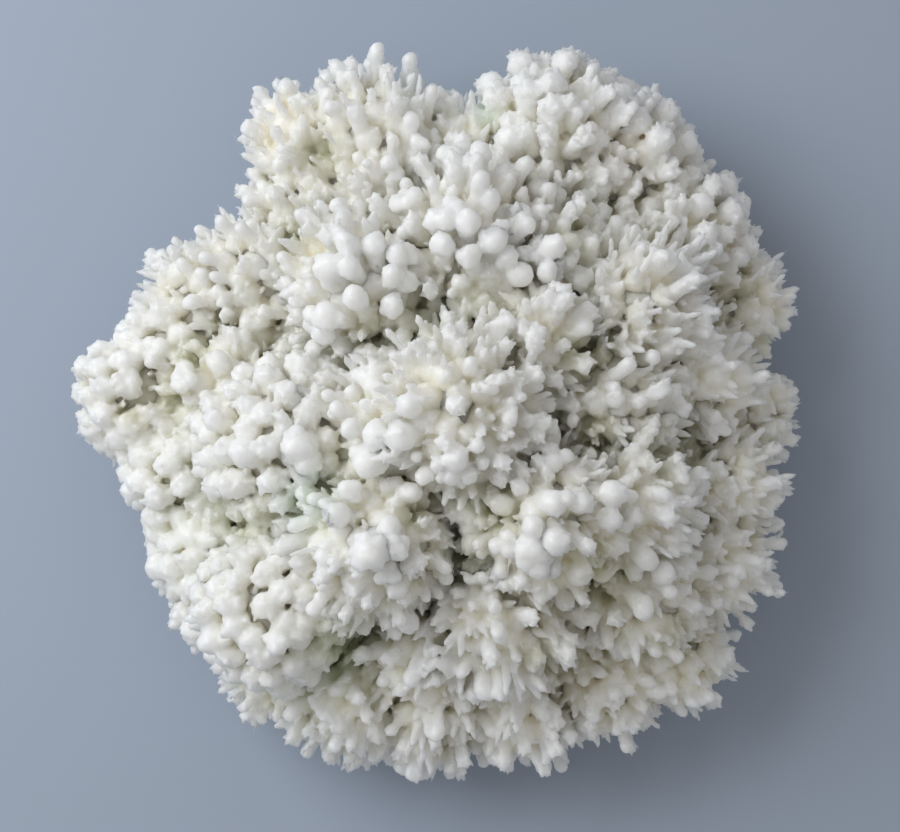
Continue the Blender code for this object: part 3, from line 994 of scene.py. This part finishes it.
def aragonite():
    """White, frosted and translucent mineral with a fine grain, coloured by its points and their painted
    shade.
    """
    material = bpy.data.materials.new("frosted_aragonite")
    material.use_nodes = True
    nodes = material.node_tree.nodes
    links = material.node_tree.links
    shader = nodes["Principled BSDF"]
    colour = nodes.new("ShaderNodeAttribute")
    colour.attribute_name = COLOUR_NAME
    links.new(colour.outputs["Color"], shader.inputs["Base Color"])
    shader.inputs["Roughness"].default_value = 0.4
    shader.inputs["Subsurface Weight"].default_value = 1.0
    shader.inputs["Subsurface Radius"].default_value = (1.0, 0.97, 0.9)
    shader.inputs["Subsurface Scale"].default_value = 5.5 * MM
    place = nodes.new("ShaderNodeTexCoord")
    grain = nodes.new("ShaderNodeTexNoise")
    grain.inputs["Scale"].default_value = GRAIN_SCALE
    grain.inputs["Detail"].default_value = 1.0
    bump = nodes.new("ShaderNodeBump")
    bump.inputs["Strength"].default_value = 0.5
    bump.inputs["Distance"].default_value = GRAIN_HEIGHT
    links.new(place.outputs["Object"], grain.inputs["Vector"])
    links.new(grain.outputs["Fac"], bump.inputs["Height"])
    links.new(bump.outputs["Normal"], shader.inputs["Normal"])
    return material


def finish_piece(obj, material, depths):
    """Colour a piece, painted shade and light included, and make it ride on the body."""
    mesh = obj.data
    mesh.materials.clear()
    mesh.materials.append(material)
    points = points_of(mesh)
    colours = np.ones((len(points), 4))
    rises = depths.outside(points) / HIGHEST_RISE
    colours[:, :3] = colours_with_painted_shade(points, rises, depths.valleys(points))
    attribute = mesh.attributes.new(COLOUR_NAME, "FLOAT_COLOR", "POINT")
    attribute.data.foreach_set("color", colours.ravel())
    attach(obj, BODY)
    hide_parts(NODE)


def specimen():
    """All pieces of the specimen."""
    rng = np.random.default_rng(SEED + 1)
    lobes, core = lobe_mass()
    skin = BVHTree.FromBMesh(core)
    depths = Depths(skin)
    grower = Grower(skin, templates())
    knobs = grow_knobs(grower, rng)
    grow_sprays(grower, core, knobs, rng)
    grow_stubs(grower, core, rng)
    core.free()
    thinned(lobes, LOBE_TRIANGLES, depths)
    lobes.data.shade_smooth()
    pieces = [lobes]
    for region, shapes in grower.regions.items():
        piece = fused("crystals_" + region, shapes, CRYSTAL_CUBE, CRYSTAL_SMOOTHING)
        roughened(piece)
        thinned(piece, REGION_TRIANGLES, depths)
        piece.data.shade_smooth()
        pieces.append(piece)
    material = aragonite()
    for piece in pieces:
        finish_piece(piece, material, depths)


# Stage, light and camera

def floor():
    """A plain pale floor under the specimen."""
    shape = bmesh.new()
    bmesh.ops.create_grid(shape, x_segments=1, y_segments=1, size=FLOOR_SIZE)
    mesh = bpy.data.meshes.new("floor")
    shape.to_mesh(mesh)
    shape.free()
    obj = mesh_object("floor", mesh)
    material = bpy.data.materials.new("floor")
    material.use_nodes = True
    shader = material.node_tree.nodes["Principled BSDF"]
    shader.inputs["Base Color"].default_value = FLOOR_COLOUR
    shader.inputs["Roughness"].default_value = 0.8
    mesh.materials.append(material)


def light(name, place, size, strength, colour):
    """A soft square light at a place, shining on the specimen."""
    data = bpy.data.lights.new(name, "AREA")
    data.size = size
    data.energy = strength
    data.color = colour
    obj = bpy.data.objects.new(name, data)
    bpy.context.scene.collection.objects.link(obj)
    obj.location = Vector(place)
    obj.rotation_euler = obj.location.to_track_quat("Z", "Y").to_euler()


def studio():
    """Floor, light and the photo's camera."""
    floor()
    for name, (place, size, strength, colour) in LIGHTS.items():
        light(name, place, size, strength, colour)
    world = bpy.data.worlds.new("studio")
    world.use_nodes = True
    world.node_tree.nodes["Background"].inputs["Color"].default_value = SKY_COLOUR
    world.node_tree.nodes["Background"].inputs["Strength"].default_value = SKY_STRENGTH
    scene = bpy.context.scene
    scene.world = world
    scene.view_settings.view_transform = "Standard"
    camera = bpy.data.objects.new("camera", bpy.data.cameras.new("camera"))
    scene.collection.objects.link(camera)
    camera.data.sensor_fit = "HORIZONTAL"
    camera.data.angle = 2.0 * math.atan(VIEW_WIDTH / 2.0 / VIEW_DISTANCE)
    camera.location = VIEW_PLACE
    camera.rotation_euler = VIEW_BACK.to_track_quat("Z", "Y").to_euler()
    scene.camera = camera


studio()
specimen()
